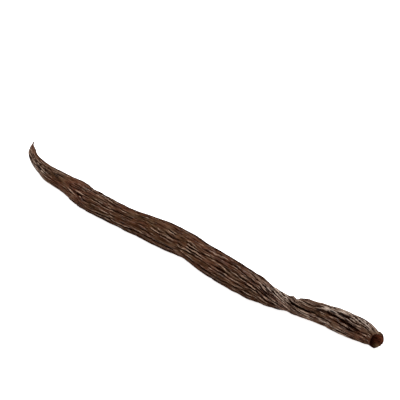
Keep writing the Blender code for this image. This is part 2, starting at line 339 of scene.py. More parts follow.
# %% The large furrows and the raised cords
FURROWS = (
    # depth, half width, course: distances and angles round the pod. First the hook and the knuckle.
    (0.4, 0.32, ((8.5, 99.0), (11.5, 106.0), (14.0, 112.0), (16.5, 117.0), (19.0, 121.0), (22.5, 128.0))),
    (0.35, 0.28, ((10.5, 134.0), (13.5, 135.0), (16.5, 134.0), (18.5, 140.0), (21.5, 148.0))),
    (0.35, 0.28, ((17.0, 91.0), (20.5, 96.0), (23.0, 98.0), (27.0, 99.0))),
    (0.2, 0.25, ((15.5, 145.0), (18.0, 147.0), (21.0, 145.0))),
    (0.25, 0.35, ((5.0, 58.0), (8.0, 67.0), (14.0, 66.0))),
    (0.35, 0.28, ((30.0, 92.0), (33.5, 88.0), (36.0, 88.0), (38.0, 93.0))),
    (0.42, 0.28, ((28.0, 108.0), (30.5, 117.0), (32.5, 117.0), (34.5, 107.0), (36.5, 105.0))),
    (0.45, 0.3, ((29.0, 126.0), (31.5, 131.0), (34.5, 134.0), (37.5, 125.0))),
    (0.35, 0.25, ((29.0, 139.0), (31.0, 144.0), (33.0, 148.0), (36.0, 148.0))),
    (0.3, 0.25, ((28.0, 157.0), (30.0, 160.0), (33.0, 161.0))),
    (0.3, 0.28, ((36.5, 133.0), (38.5, 139.0), (41.0, 139.0), (44.0, 131.0), (49.5, 129.0))),
    (0.85, 0.5, ((34.0, 133.0), (36.4, 129.5), (38.4, 125.0))),
    # The long middle.
    (0.6, 0.32, ((36.0, 112.0), (39.5, 112.0), (42.0, 113.5), (48.5, 119.0), (51.5, 115.0), (59.0, 113.0))),
    (0.3, 0.25, ((43.0, 82.0), (46.0, 82.0), (50.5, 90.0))),
    (0.3, 0.22, ((46.0, 104.0), (49.5, 101.0))),
    (0.45, 0.35, ((40.0, 56.0), (44.0, 60.0), (48.0, 70.0), (51.0, 80.0))),
    (0.35, 0.25, ((52.0, 91.0), (55.0, 92.0), (59.0, 94.0))),
    (0.4, 0.25, ((59.5, 99.0), (63.0, 98.0), (65.0, 101.0), (68.0, 101.0))),
    (0.5, 0.38, ((44.0, 172.0), (50.0, 171.0), (53.0, 177.0), (58.0, 173.0), (64.0, 169.0), (78.0, 176.0))),
    (0.25, 0.25, ((44.0, 155.0), (47.0, 152.0), (52.5, 160.0))),
    (0.25, 0.25, ((53.5, 161.0), (56.5, 155.0), (59.0, 152.0))),
    (0.2, 0.22, ((52.0, 121.0), (56.0, 123.0), (59.5, 122.0))),
    (0.3, 0.25, ((59.5, 132.0), (62.0, 126.0), (66.0, 125.0))),
    (0.45, 0.28, ((65.0, 127.0), (69.0, 131.0), (73.0, 136.0), (78.0, 140.0))),
    (0.4, 0.28, ((65.0, 112.0), (68.0, 117.0), (72.0, 121.0))),
    (0.45, 0.28, ((71.0, 109.0), (73.0, 117.0), (75.0, 124.0), (77.0, 123.0))),
    (0.25, 0.25, ((65.0, 147.0), (70.0, 150.0))),
    (0.3, 0.28, ((57.0, 74.0), (60.5, 75.0), (65.0, 78.0))),
    (0.3, 0.3, ((72.0, 72.0), (76.0, 74.0), (83.0, 74.0), (89.0, 71.0))),
    # From the kink to the widest place.
    (0.3, 0.22, ((80.0, 110.0), (82.5, 109.0), (85.5, 111.0))),
    (0.4, 0.28, ((80.5, 120.0), (85.0, 121.0), (88.5, 114.0), (92.0, 108.0), (98.0, 106.0), (103.0, 108.0))),
    (0.45, 0.28, ((80.0, 132.0), (83.0, 134.0), (86.5, 131.5), (89.5, 132.5))),
    (0.35, 0.25, ((79.5, 155.0), (82.0, 148.0), (86.0, 146.0))),
    (0.3, 0.22, ((87.5, 142.0), (91.0, 141.0), (94.0, 146.0))),
    (0.4, 0.25, ((91.0, 89.0), (95.0, 86.0), (99.0, 84.0), (103.0, 90.0), (107.0, 96.0))),
    (0.3, 0.22, ((85.5, 90.0), (90.5, 92.0))),
    (0.6, 0.36, ((94.0, 131.0), (96.5, 130.5), (98.5, 131.5), (100.8, 131.0))),
    (0.45, 0.25, ((100.0, 124.0), (104.0, 127.0), (107.5, 131.0), (111.5, 135.0))),
    (0.35, 0.22, ((94.0, 143.0), (97.0, 144.0), (100.0, 143.0))),
    (0.35, 0.3, ((87.0, 165.0), (91.0, 170.0), (95.0, 168.0))),
    (0.4, 0.35, ((99.5, 157.0), (103.0, 166.0), (106.0, 175.0), (110.0, 181.0))),
    (0.3, 0.25, ((102.5, 147.0), (106.0, 151.0), (109.5, 158.0))),
    (0.3, 0.3, ((91.0, 72.0), (95.0, 70.0), (98.5, 72.0), (102.0, 68.0))),
    # The shoulder and the wring.
    (0.6, 0.3, (
        (99.0, 108.0), (104.0, 115.0), (109.0, 119.0), (113.0, 132.0), (116.0, 150.0), (118.5, 163.0),
    )),
    (0.65, 0.3, ((106.5, 97.0), (110.0, 102.0), (112.0, 112.0), (114.0, 122.0), (116.5, 134.0))),
    (0.5, 0.28, ((109.0, 84.0), (111.0, 88.0), (114.5, 103.0))),
    (0.45, 0.28, ((110.5, 147.0), (112.5, 151.0), (114.0, 161.0), (116.0, 173.0))),
    (0.3, 0.28, ((106.0, 74.0), (109.5, 82.0))),
    (0.4, 0.2, ((108.0, 107.0), (110.5, 113.0), (112.5, 121.0), (114.5, 132.0), (116.5, 146.0))),
    (0.35, 0.2, ((111.0, 98.0), (113.0, 107.0), (115.0, 117.0), (117.5, 132.0))),
    (0.4, 0.3, ((114.0, 58.0), (115.2, 80.0), (116.5, 100.0))),
    (1.1, 0.42, (
        (119.5, 80.0), (120.5, 101.0), (122.0, 119.0), (124.0, 130.0), (126.0, 138.0), (130.0, 138.0),
    )),
    (0.55, 0.28, ((121.0, 76.0), (122.5, 90.0), (124.0, 100.0), (126.5, 113.0))),
    (0.55, 0.3, ((121.5, 60.0), (123.0, 71.0), (125.0, 82.0), (127.5, 92.0))),
    # The last lobe.
    (0.3, 0.6, ((126.0, 92.0), (128.5, 93.0), (131.5, 99.0))),
    (0.8, 0.5, (
        (129.0, 108.0), (133.0, 110.0), (136.5, 114.0), (139.5, 120.0), (142.0, 126.0), (146.0, 136.0),
    )),
    (0.4, 0.35, ((128.5, 66.0), (131.0, 77.0), (133.5, 84.0))),
    (0.45, 0.3, ((134.5, 79.0), (138.0, 87.0), (139.5, 90.0), (141.0, 98.0), (143.0, 104.0), (146.5, 115.0))),
    (0.4, 0.28, ((127.5, 125.0), (130.0, 122.0), (134.0, 129.0))),
    (0.35, 0.28, ((134.0, 134.0), (137.0, 136.0), (139.5, 142.0))),
    (0.45, 0.28, ((138.0, 142.0), (141.0, 144.0), (149.0, 161.0))),
    (0.4, 0.28, ((131.0, 147.0), (133.5, 152.0), (136.5, 152.0))),
    (0.35, 0.2, ((140.5, 74.0), (143.0, 83.0), (149.0, 101.0))),
    (0.35, 0.2, ((141.0, 91.0), (143.5, 98.0), (149.2, 114.0))),
    (0.3, 0.2, ((142.5, 68.0), (144.5, 74.0), (149.2, 91.0))),
    (0.35, 0.3, ((145.5, 66.0), (148.0, 78.0), (149.5, 84.0))),
    (0.3, 0.28, ((145.0, 134.0), (147.0, 136.0), (149.5, 137.0))),
    (0.25, 0.25, ((145.0, 112.0), (147.0, 117.0), (149.5, 121.0))),
    (0.35, 0.35, ((131.5, 176.0), (137.0, 184.0), (142.0, 188.0))),
)
CORDS = (
    # height, half width, course, in the same order
    (0.15, 0.22, ((8.0, 118.0), (11.0, 121.0), (14.0, 122.0))),
    (0.18, 0.22, ((14.5, 125.0), (17.5, 128.0), (21.0, 133.0))),
    (0.18, 0.2, ((7.0, 96.0), (10.0, 98.0), (14.0, 98.0))),
    (0.15, 0.18, ((3.5, 105.0), (6.0, 110.0), (8.5, 104.0))),
    (0.15, 0.18, ((10.0, 83.0), (15.0, 80.0), (19.0, 84.0))),
    (0.15, 0.18, ((11.5, 144.0), (14.5, 145.0), (17.5, 146.0))),
    (0.15, 0.18, ((20.0, 104.0), (23.5, 108.0), (27.0, 108.0))),
    (0.15, 0.25, ((25.5, 55.0), (28.0, 68.0), (30.0, 84.0))),
    (0.3, 0.28, ((33.2, 124.0), (35.5, 121.5), (38.2, 119.0))),
    (0.3, 0.25, ((35.5, 141.0), (37.5, 138.0))),
    (0.15, 0.2, ((30.0, 138.0), (33.0, 140.0), (36.0, 140.0))),
    (0.35, 0.25, ((35.5, 131.0), (37.0, 137.0), (39.0, 146.0))),
    (0.15, 0.2, ((29.5, 103.0), (31.5, 104.0), (34.0, 98.0))),
    (0.12, 0.22, ((51.5, 84.0), (55.5, 84.0))),
    (0.15, 0.22, ((58.0, 85.0), (63.5, 85.0))),
    (0.2, 0.2, ((52.0, 98.0), (54.0, 100.0), (57.5, 102.0))),
    (0.2, 0.2, ((65.5, 121.0), (68.5, 124.0), (71.5, 127.0), (76.0, 130.0))),
    (0.15, 0.25, ((68.5, 140.0), (73.0, 141.0))),
    (0.15, 0.22, ((46.0, 94.0), (49.5, 96.0))),
    (0.15, 0.22, ((70.5, 97.0), (73.0, 103.0), (75.5, 110.0))),
    (0.15, 0.25, ((41.0, 67.0), (44.0, 74.0), (48.0, 78.0), (52.0, 87.0))),
    (0.25, 0.2, ((79.5, 105.0), (82.0, 102.0), (85.0, 106.0))),
    (0.15, 0.2, ((80.5, 115.0), (85.0, 114.0))),
    (0.3, 0.22, ((80.5, 127.0), (84.0, 127.5), (86.0, 124.0), (88.5, 127.0))),
    (0.25, 0.2, ((88.0, 126.0), (91.5, 124.0))),
    (0.15, 0.2, ((80.0, 140.0), (85.0, 140.0))),
    (0.2, 0.22, ((91.0, 82.0), (96.0, 79.0), (100.0, 82.0), (104.0, 86.0))),
    (0.5, 0.2, ((93.5, 121.0), (95.5, 119.0), (97.0, 118.5), (98.2, 121.5), (99.2, 128.0))),
    (0.12, 0.22, ((87.0, 104.0), (91.0, 101.0), (95.0, 100.0))),
    (0.2, 0.2, ((92.0, 139.0), (97.0, 136.5), (100.5, 138.0))),
    (0.2, 0.2, ((94.5, 150.0), (98.0, 150.0), (102.0, 155.0))),
    (0.15, 0.2, ((98.5, 136.0), (102.0, 139.0), (105.5, 143.0))),
    (0.15, 0.2, ((100.5, 117.0), (105.0, 121.0), (108.5, 125.0), (112.5, 133.0))),
    (0.15, 0.2, ((101.0, 91.0), (105.0, 98.0), (108.5, 107.0))),
    (0.15, 0.25, ((83.0, 158.0), (87.0, 160.0), (91.0, 157.0), (95.5, 161.0))),
    (0.2, 0.25, ((105.5, 165.0), (108.5, 169.0), (111.0, 176.0))),
    (0.12, 0.22, ((86.5, 86.0), (92.0, 85.0))),
    (0.25, 0.22, ((109.0, 89.0), (111.5, 97.0), (113.5, 107.0), (115.5, 117.0))),
    (0.2, 0.25, ((111.0, 79.0), (113.0, 88.0), (115.0, 99.0))),
    (0.25, 0.3, ((114.5, 58.0), (116.5, 76.0), (118.5, 96.0))),
    (0.5, 0.34, ((117.0, 50.0), (118.2, 68.0), (119.0, 90.0), (120.5, 114.0))),
    (0.25, 0.2, ((118.5, 118.0), (120.0, 132.0), (121.5, 144.0))),
    (0.2, 0.22, ((117.5, 140.0), (118.8, 156.0), (119.6, 172.0))),
    (0.3, 0.25, ((121.5, 75.0), (123.5, 86.0), (125.0, 98.0), (126.5, 109.0))),
    (0.25, 0.2, ((120.5, 97.0), (122.5, 109.0), (124.5, 120.0), (127.0, 130.0))),
    (0.25, 0.22, ((127.5, 119.0), (129.5, 116.0), (132.5, 119.0))),
    (0.55, 0.45, (
        (129.0, 84.0), (132.0, 92.0), (134.5, 96.0), (137.5, 104.0), (142.0, 114.0), (146.5, 127.0),
    )),
    (0.2, 0.22, ((133.0, 127.0), (135.5, 124.0), (138.5, 127.0))),
    (0.25, 0.3, ((127.0, 149.0), (130.0, 152.0), (132.5, 166.0), (135.5, 165.0))),
    (0.2, 0.22, ((132.0, 140.0), (134.5, 147.0))),
    (0.15, 0.18, ((139.5, 76.0), (142.0, 87.0), (149.0, 107.0))),
    (0.15, 0.18, ((141.5, 72.0), (144.0, 80.0), (149.2, 96.0))),
    (0.2, 0.22, ((143.0, 148.0), (149.2, 166.0))),
    (0.15, 0.2, ((137.5, 130.0), (141.0, 134.0), (144.0, 142.0))),
    (0.3, 0.3, ((137.5, 157.0), (140.5, 159.0))),
)
# Over how many millimetres a furrow or a cord fades in and out at its ends.
TAPER = 1.8


def turned_gap(first, second):
    """The angle between two directions round the pod, in degrees, from 0 to 180."""
    return abs((first - second + 180.0) % 360.0 - 180.0)


def bump_at(off_along, off_round):
    """A soft bump: 1 at its middle and nearly nought two reaches away."""
    return math.exp(-off_along * off_along - off_round * off_round)


@functools.cache
def crossing(courses, distance):
    """The strength, width and angle there of each listed furrow or cord that passes a distance."""
    found = []
    for strength, width, course in courses:
        first, last = course[0][0], course[-1][0]
        if first < distance < last:
            taper = smooth_step(0.0, TAPER, min(distance - first, last - distance))
            found.append((strength * taper, width, read_off(course, distance)[0]))
    return found


def strongest(courses, distance, angle, spread=1.0):
    """The height or depth of the listed courses at a place, or, spread wide, how near the next one is."""
    half = oval_at(distance)[0] / WIDE
    most = 0.0
    for strength, width, at in crossing(courses, distance):
        off = math.radians(turned_gap(angle, at)) * half / (width * spread)
        most = max(most, strength * math.exp(-off * off))
    return most


print(len(FURROWS), "large furrows and", len(CORDS), "raised cords")

# %% The grain
WANDER = 2.6
WANDER_FREQUENCY = 3.0
WANDER_LENGTH = 1.3


def grain_place(distance, angle, frequency, length):
    """A place for noise whose pattern runs along the grain and closes round the pod."""
    turned = math.radians(angle - twist_at(distance))
    return Vector((math.cos(turned) * frequency, math.sin(turned) * frequency, distance / length))


def wandered(distance, angle):
    """The angle, shifted a little to and fro, so that no furrow runs quite straight."""
    return angle + WANDER * noise.noise(grain_place(distance, angle, WANDER_FREQUENCY, WANDER_LENGTH))


print("furrows stray by up to", WANDER, "degrees about each", WANDER_LENGTH, "mm")

# %% The small furrows
SMALL_DEPTH = (
    # distance, depth
    (0.0, 0.0),
    (3.0, 0.12),
    (12.0, 0.3),
    (30.0, 0.38),
    (38.0, 0.45),
    (60.0, 0.36),
    (80.0, 0.42),
    (100.0, 0.5),
    (113.0, 0.6),
    (126.0, 0.65),
    (134.0, 0.58),
    (141.0, 0.5),
    (147.0, 0.42),
    (149.7, 0.35),
    (150.8, 0.2),
)
SMALL_LAYERS = (
    # how many round the pod, length along it, steepness, rounding, share of the depth
    (2.7, 13.0, 2.8, 0.7, 0.75),
    (4.4, 7.0, 2.8, 0.8, 0.55),
    (7.0, 4.0, 2.4, 1.0, 0.3),
)
UNEVENNESS = 1.1
UNEVEN_FREQUENCY = 1.4
UNEVEN_LENGTH = 4.0
# How many times its own width a large furrow reaches to calm the small ones beside it, and by how much.
BESIDE_SPREAD = 3.0
BESIDE_CALM = 1.4
SOLE_SMOOTHING = 0.75
SOLE_FROM = 0.55
SOLE_TO = 0.95
DRAWN_TIGHT = (
    # angle, reach round, share of the small relief that is gone there
    (50.0, 24.0, 0.5),
    (218.0, 30.0, 0.5),
)


def crest(place, steepness, rounding):
    """From 0 at the bottom of a furrow to 1 on the ridges beside it."""
    return min(abs(noise.noise(place)) * steepness, 1.0) ** rounding


@functools.cache
def relief_left(angle):
    """How much of the small relief is left: less where the skin is drawn tight or pressed on the table."""
    tight = sum(share * bump_at(0.0, turned_gap(angle, at) / reach) for at, reach, share in DRAWN_TIGHT)
    return 1.0 - max(tight, SOLE_SMOOTHING * smooth_step(SOLE_FROM, SOLE_TO, -math.sin(math.radians(angle))))


@functools.cache
def small_depth_at(distance):
    return read_off(SMALL_DEPTH, distance)[0]


def small_furrows(distance, angle):
    """The small furrows' depth. The widest sort is shallow beside a large furrow, which took up the slack."""
    beside = strongest(FURROWS, distance, angle, BESIDE_SPREAD)
    total = 0.0
    for frequency, length, steepness, rounding, share in SMALL_LAYERS:
        if frequency == SMALL_LAYERS[0][0]:
            share *= max(1.0 - BESIDE_CALM * beside, 0.0)
        total += share * (1.0 - crest(grain_place(distance, angle, frequency, length), steepness, rounding))
    uneven = 1.0 + UNEVENNESS * noise.noise(grain_place(distance, angle, UNEVEN_FREQUENCY, UNEVEN_LENGTH))
    return small_depth_at(distance) * relief_left(angle) * uneven * total


print("small furrows up to", max(row[1] for row in SMALL_DEPTH), "mm deep")

# %% [markdown]
# ## Swellings, dents and crinkles
# The pod isn't an even tube. It has a knuckle, a dent in its underside and a bulge at each end of the
# wring. Where it bends, the skin on the inside of the bend is crinkled across. A soft bump at a place does
# for the first, and noise that is short along the grain, only near the bends, does for the second.

# %% Swellings and crinkles
SWELLINGS = (
    # distance, angle, reach along, reach round in degrees, height
    (32.0, 35.0, 2.8, 45.0, 0.3),
    (37.6, 45.0, 1.4, 45.0, -0.15),
    (72.0, 60.0, 5.0, 45.0, 0.15),
    (81.0, 225.0, 1.6, 40.0, -0.1),
    (107.0, 50.0, 3.5, 40.0, 0.15),
    (120.6, 60.0, 0.8, 35.0, 0.3),
    (121.9, 60.0, 0.7, 45.0, -0.75),
    (125.0, 55.0, 1.4, 45.0, 0.3),
    (117.5, 225.0, 2.0, 45.0, 0.2),
    (120.6, 225.0, 0.9, 45.0, -0.15),
    (143.5, 55.0, 3.0, 45.0, 0.3),
)
CRINKLED = (
    # distance, reach along, depth
    (34.5, 5.0, 0.24),
    (80.0, 5.0, 0.12),
    (119.5, 4.5, 0.14),
)
CRINKLE_FREQUENCY = 2.2
CRINKLE_LENGTH = 0.9
CRINKLE_STEEPNESS = 2.8


def swelling(distance, angle):
    return sum(
        height * bump_at((distance - at) / reach, turned_gap(angle, facing) / spread)
        for at, facing, reach, spread, height in SWELLINGS
    )


@functools.cache
def crinkle_depth_at(distance):
    return sum(depth * bump_at((distance - at) / reach, 0.0) for at, reach, depth in CRINKLED)


def crinkles(distance, angle):
    place = grain_place(distance, angle, CRINKLE_FREQUENCY, CRINKLE_LENGTH)
    return crinkle_depth_at(distance) * relief_left(angle) * (1.0 - crest(place, CRINKLE_STEEPNESS, 1.0))


print(len(SWELLINGS), "swellings and dents, crinkles near", [row[0] for row in CRINKLED], "mm")

# %% [markdown]
# ## The skin's surface
# All the relief is added up and moves the surface of the oval tube in or out. The table presses the
# underside flat, so no point goes below it, and none leaves the solid's own box.

# %% The skin's surface
def relief_at(distance, angle):
    """How far the skin stands out from the oval tube at a place. Furrows count as negative."""
    near = wandered(distance, angle)
    furrows = small_furrows(distance, near) + strongest(FURROWS, distance, near)
    return strongest(CORDS, distance, near) - furrows - crinkles(distance, near)


def skin_point(distance, angle, relief):
    middle, left, up = frame_at(distance)
    half_width, half_height = oval_at(distance)
    out = relief + swelling(distance, angle)
    turn = math.radians(angle)
    return middle + left * ((half_width + out) * math.cos(turn)) + up * ((half_height + out) * math.sin(turn))


def kept_inside(point):
    """The nearest point that isn't outside the solid's box, in metres."""
    low, high = solid_box
    return Vector([min(max(v, a), b) for v, a, b in zip(point, low, high)])


print("relief on top of the middle:", round(relief_at(70.0, 90.0), 2), "mm")

# %% [markdown]
# ## The scar
# The pod was torn from its stem, and the end of the neck dried into a ragged collar round a hollow. It
# could be a piece of its own, but on the pod it is the same skin, so the tube's last rings go on over the
# lip and down into the hollow. The lip is drawn in at some angles and torn back at others, and the hollow's
# wall is pleated.

# %% The scar
COLLAR_START = 149.7
COLLAR_RADIUS = 2.6
COLLAR_WALL = 0.22
COLLAR_CORNERS = 5
COLLAR_CORNER_HEIGHT = 0.14
COLLAR_TURN = 30.0
COLLAR_STEPS = 4
LIP_STEPS = 3
RAGGEDNESS = 0.25
RAGGED_FREQUENCY = 1.9
RIM = (
    # angle, reach round, how far the lip is drawn in and how far it is torn back
    (62.0, 32.0, 0.35, 0.0),
    (150.0, 50.0, -0.05, 0.5),
    (262.0, 18.0, 0.3, 0.0),
    (305.0, 22.0, -0.3, 0.0),
)
HOLLOW_DEPTH = 4.6
HOLLOW_NARROWING = 0.8
HOLLOW_STEPS = 16
PLEAT_FREQUENCY = 2.6
PLEAT_DEPTH = 0.3
PLEAT_STEEPNESS = 2.8


def rim_at(angle):
    """How far the lip is drawn in and torn back at an angle."""
    near = [(bump_at(0.0, turned_gap(angle, at) / reach), inward, back) for at, reach, inward, back in RIM]
    return sum(share * inward for share, inward, _ in near), sum(share * back for share, _, back in near)


def collar_point(distance, radius, angle, lip, pleated):
    """A point of the collar or its hollow. The lip is torn back unevenly, and the hollow is pleated."""
    middle, left, up = frame_at(distance)
    turn = math.radians(angle)
    facing = Vector((math.cos(turn), math.sin(turn), 0.0))
    corners = COLLAR_CORNER_HEIGHT * math.cos(COLLAR_CORNERS * (turn + math.radians(COLLAR_TURN)))
    drawn_in, torn = [lip * value for value in rim_at(angle)]
    pleat = pleated * PLEAT_DEPTH * crest(facing * PLEAT_FREQUENCY, PLEAT_STEEPNESS, 1.0)
    torn += lip * RAGGEDNESS * abs(noise.noise(facing * RAGGED_FREQUENCY))
    out = radius + corners - drawn_in - pleat
    return middle + left * (out * facing.x) + up * (out * facing.y) - left.cross(up) * torn


def collar_rings():
    """Distance, radius, share of the tears and share of the pleats, over the lip and down the hollow."""
    inner = COLLAR_RADIUS - COLLAR_WALL
    rings = []
    for k in range(1, COLLAR_STEPS):
        share = k / COLLAR_STEPS
        rings.append((COLLAR_START + (LENGTH - COLLAR_START) * share, COLLAR_RADIUS, share, 0.0))
    for k in range(LIP_STEPS + 1):
        rings.append((LENGTH, COLLAR_RADIUS - COLLAR_WALL * k / LIP_STEPS, 1.0, 0.0))
    for k in range(1, HOLLOW_STEPS):
        share = k / HOLLOW_STEPS
        narrowed = inner * (1.0 - HOLLOW_NARROWING * share**2)
        rings.append((LENGTH - HOLLOW_DEPTH * share, narrowed, 1.0 - share, min(2.0 * share, 1.0 - share)))
    return rings


print(len(collar_rings()), "rings from the collar to the hollow's floor")

# %% [markdown]
# ## The rings and their relief
# The skin is worked out ring by ring, from the tip to the scar, with the rings closest where the skin is
# crinkled. The points of the rings follow the grain through the wring, so that no furrow is cut across, and
# they lie closer together on the upper side, where the eye is. The relief of them all is known before the
# mesh is made, because the finish has to compare each point with its neighbours.

# %% The rings
SIDES = 190
CLOSEST_AT = 115.0
CLOSENESS = 0.45
STRETCHES = (
    # from, to, steps
    (0.0, 6.0, 24),
    (6.0, 27.0, 64),
    (27.0, 42.0, 60),
    (42.0, 106.0, 190),
    (106.0, 127.0, 82),
    (127.0, 149.7, 76),
)


def skin_distances():
    distances = []
    for start, end, steps in STRETCHES:
        distances += [start + (end - start) * (k + 1) / steps for k in range(steps)]
    return distances


def side_angle(side, distance):
    """The angle round the pod of one of the grid's columns."""
    even = 360.0 * side / SIDES + twist_at(distance)
    return even - math.degrees(CLOSENESS * math.sin(math.radians(even - CLOSEST_AT)))


skin_rows = skin_distances()
scar_rows = collar_rings()
ROWS = 1 + len(skin_rows) + len(scar_rows) + 1
print(ROWS, "rows of", SIDES, "points")

# %% The relief of every point
def relief_map():
    """The relief at each row and side, in one table, so that neighbours can be compared."""
    made = np.zeros((len(skin_rows), SIDES))
    for i, distance in enumerate(skin_rows):
        for side in range(SIDES):
            made[i, side] = relief_at(distance, side_angle(side, distance))
    return made


reliefs = relief_map()
print("relief from", round(float(reliefs.min()), 2), "to", round(float(reliefs.max()), 2), "mm")

# %% [markdown]
# ## What the finish needs to know
# A crest is pale, partly because it is rubbed and dry and partly as a painted highlight. A furrow is
# darkened with painted shade. Whether a point lies on a crest or in a furrow shows when its relief is set
# against the mean of its neighbours.
# The larger patches, rusty, dry and shaded ones, are soft bumps at named places. The shaded ones are
# painted shade, and so is the dark line that runs along each flank and the underside. In the scar, flesh
# and dry husk show in places, partly as painted light, and the hollow is partly darkened with painted
# shade. Each of these is a mark, a number from 0 to 1 that is stored on the mesh's points. A crest's mark
# goes down to -1, for a furrow.

# %% Crests and patches
NEAR = 5
CREST_HEIGHT = (
    # distance, the height over its neighbours at which a point counts as a full crest
    (0.0, 0.07),
    (12.0, 0.12),
    (20.0, 0.15),
    (31.0, 0.28),
    (38.0, 0.16),
    (60.0, 0.17),
    (72.0, 0.22),
    (90.0, 0.19),
    (102.0, 0.24),
    (115.0, 0.18),
    (130.0, 0.14),
    (150.8, 0.16),
)
RUSTY = (
    # distance, angle, reach along, reach round, strength
    (3.0, 80.0, 1.5, 40.0, 0.7),
    (8.0, 130.0, 2.0, 40.0, 0.5),
    (33.0, 110.0, 5.0, 70.0, 0.7),
    (51.0, 80.0, 4.0, 30.0, 0.4),
    (93.0, 80.0, 12.0, 35.0, 0.45),
    (112.0, 80.0, 4.0, 35.0, 0.6),
    (114.5, 125.0, 3.0, 20.0, 0.6),
    (118.5, 105.0, 3.0, 50.0, 0.8),
    (119.5, 165.0, 2.0, 30.0, 0.8),
    (142.0, 155.0, 5.0, 25.0, 0.3),
)
GREYED = (
    # the same, where the skin is dry and greyed
    (7.0, 160.0, 6.0, 60.0, 1.0),
    (14.0, 150.0, 4.0, 60.0, 0.5),
    (22.0, 65.0, 4.0, 25.0, 0.5),
    (38.0, 70.0, 2.0, 25.0, 0.4),
    (44.5, 92.0, 2.5, 20.0, 0.2),
    (108.0, 70.0, 4.0, 22.0, 0.5),
    (113.5, 99.0, 2.5, 13.0, 0.4),
    (116.3, 70.0, 3.6, 34.0, 1.0),
    (118.8, 90.0, 2.3, 50.0, 0.9),
    (118.5, 160.0, 2.0, 22.0, 0.6),
    (124.0, 80.0, 3.5, 30.0, 0.35),
    (126.0, 185.0, 4.5, 30.0, 0.35),
    (135.5, 60.0, 5.5, 25.0, 0.9),
    (145.0, 68.0, 6.0, 40.0, 1.0),
    (134.5, 95.0, 5.0, 10.0, 1.0),
    (139.5, 82.0, 4.5, 18.0, 0.8),
    (132.0, 165.0, 2.5, 14.0, 0.6),
    (138.0, 180.0, 4.0, 16.0, 0.35),
)
SHADED = (
    # the same, painted shade where a hollow is darker than its furrows make it
    (31.5, 123.0, 2.5, 8.0, 0.35),
    (36.5, 129.0, 1.1, 6.0, 0.8),
    (74.5, 125.0, 3.0, 12.0, 0.3),
    (83.0, 113.0, 4.0, 12.0, 0.25),
    (82.5, 173.0, 2.5, 9.0, 0.8),
    (86.6, 168.0, 1.2, 9.0, 0.8),
    (97.0, 130.5, 1.2, 4.5, 0.7),
    (115.5, 168.0, 3.0, 25.0, 0.4),
    (131.0, 108.0, 3.0, 9.0, 0.8),
    (138.5, 116.0, 4.0, 8.0, 0.6),
    (142.5, 147.0, 5.0, 16.0, 0.6),
    (135.0, 141.0, 2.5, 9.0, 0.4),
    (127.0, 133.0, 3.0, 12.0, 0.6),
    (121.3, 112.0, 1.3, 14.0, 0.9),
    (124.0, 127.0, 2.0, 13.0, 0.7),
    (114.0, 130.0, 3.0, 14.0, 0.6),
    (108.0, 134.0, 3.5, 12.0, 0.35),
    (102.0, 128.0, 3.0, 12.0, 0.35),
    (120.2, 60.0, 0.8, 20.0, 0.6),
)


def crest_map(made):
    """From -1 in a furrow to 1 on a crest: the relief less the mean of its neighbours round the pod."""
    mean = sum(np.roll(made, k, axis=1) for k in range(-NEAR, NEAR + 1)) / (2 * NEAR + 1)
    heights = np.array([read_off(CREST_HEIGHT, distance) for distance in skin_rows])
    return np.clip((made - mean) / heights, -1.0, 1.0)


def patch(patches, distance, angle):
    total = sum(
        strength * bump_at((distance - at) / reach, turned_gap(angle, facing) / spread)
        for at, facing, reach, spread, strength in patches
    )
    return min(total, 1.0)


crests = crest_map(reliefs)
print("share of the skin that stands over its neighbours:", round(float((crests > 0.0).mean()), 2))

# %% The marks of each point
MARKS = ("crest", "cord", "rust", "bloom", "shade", "scar", "flesh")
# The height at which a cord counts as a full one.
CORD_HEIGHT = 0.3
FAR_FLANK_SHADE = (
    # distance, strength of the painted shade line
    (0.0, 0.0),
    (8.0, 0.2),
    (28.0, 0.8),
    (40.0, 0.9),
    (76.0, 0.9),
    (100.0, 1.2),
    (109.0, 0.7),
    (124.0, 0.1),
    (150.8, 0.0),
)
NEAR_FLANK_SHADE = (
    # the same
    (0.0, 0.0),
    (20.0, 0.05),
    (30.0, 0.5),
    (40.0, 1.2),
    (76.0, 0.8),
    (116.0, 0.8),
    (122.0, 0.1),
    (134.0, 0.0),
    (150.8, 0.7),
)
UNDERSIDE_SHADE = (
    # the same
    (0.0, 0.4),
    (12.0, 0.6),
    (150.8, 0.6),
)
# Painted shade: dark lines along the far flank, the near flank and the underside.
FLANK_SHADES = (
    # angle, reach round, strengths
    (46.0, 15.0, FAR_FLANK_SHADE),
    (208.0, 30.0, NEAR_FLANK_SHADE),
    (270.0, 50.0, UNDERSIDE_SHADE),
)
# The flesh's own red, set only on the far wall where light falls, so partly painted light.
FLESH_WHERE_LIT = (
    # depth in the hollow, angle, reach along, reach round, strength
    (1.3, 322.0, 1.3, 40.0, 0.9),
    (2.6, 340.0, 1.6, 60.0, 0.45),
)
# Dry husk: a pale streak low in the hollow, and a painted highlight on the rim at 28 degrees.
HUSK_AND_HIGHLIGHT = (
    # the same
    (0.6, 275.0, 0.8, 20.0, 0.5),
    (1.4, 28.0, 0.8, 16.0, 0.5),
)


@functools.cache
def flank_shade_rows(distance):
    return [(at, reach, read_off(strengths, distance)[0]) for at, reach, strengths in FLANK_SHADES]


def flank_shade_at(distance, angle):
    """How dark the painted shade lines along the pod's flanks and underside are at a place."""
    rows = flank_shade_rows(distance)
    darkest = max(strength * bump_at(0.0, turned_gap(angle, at) / reach) for at, reach, strength in rows)
    return min(darkest, 1.0)


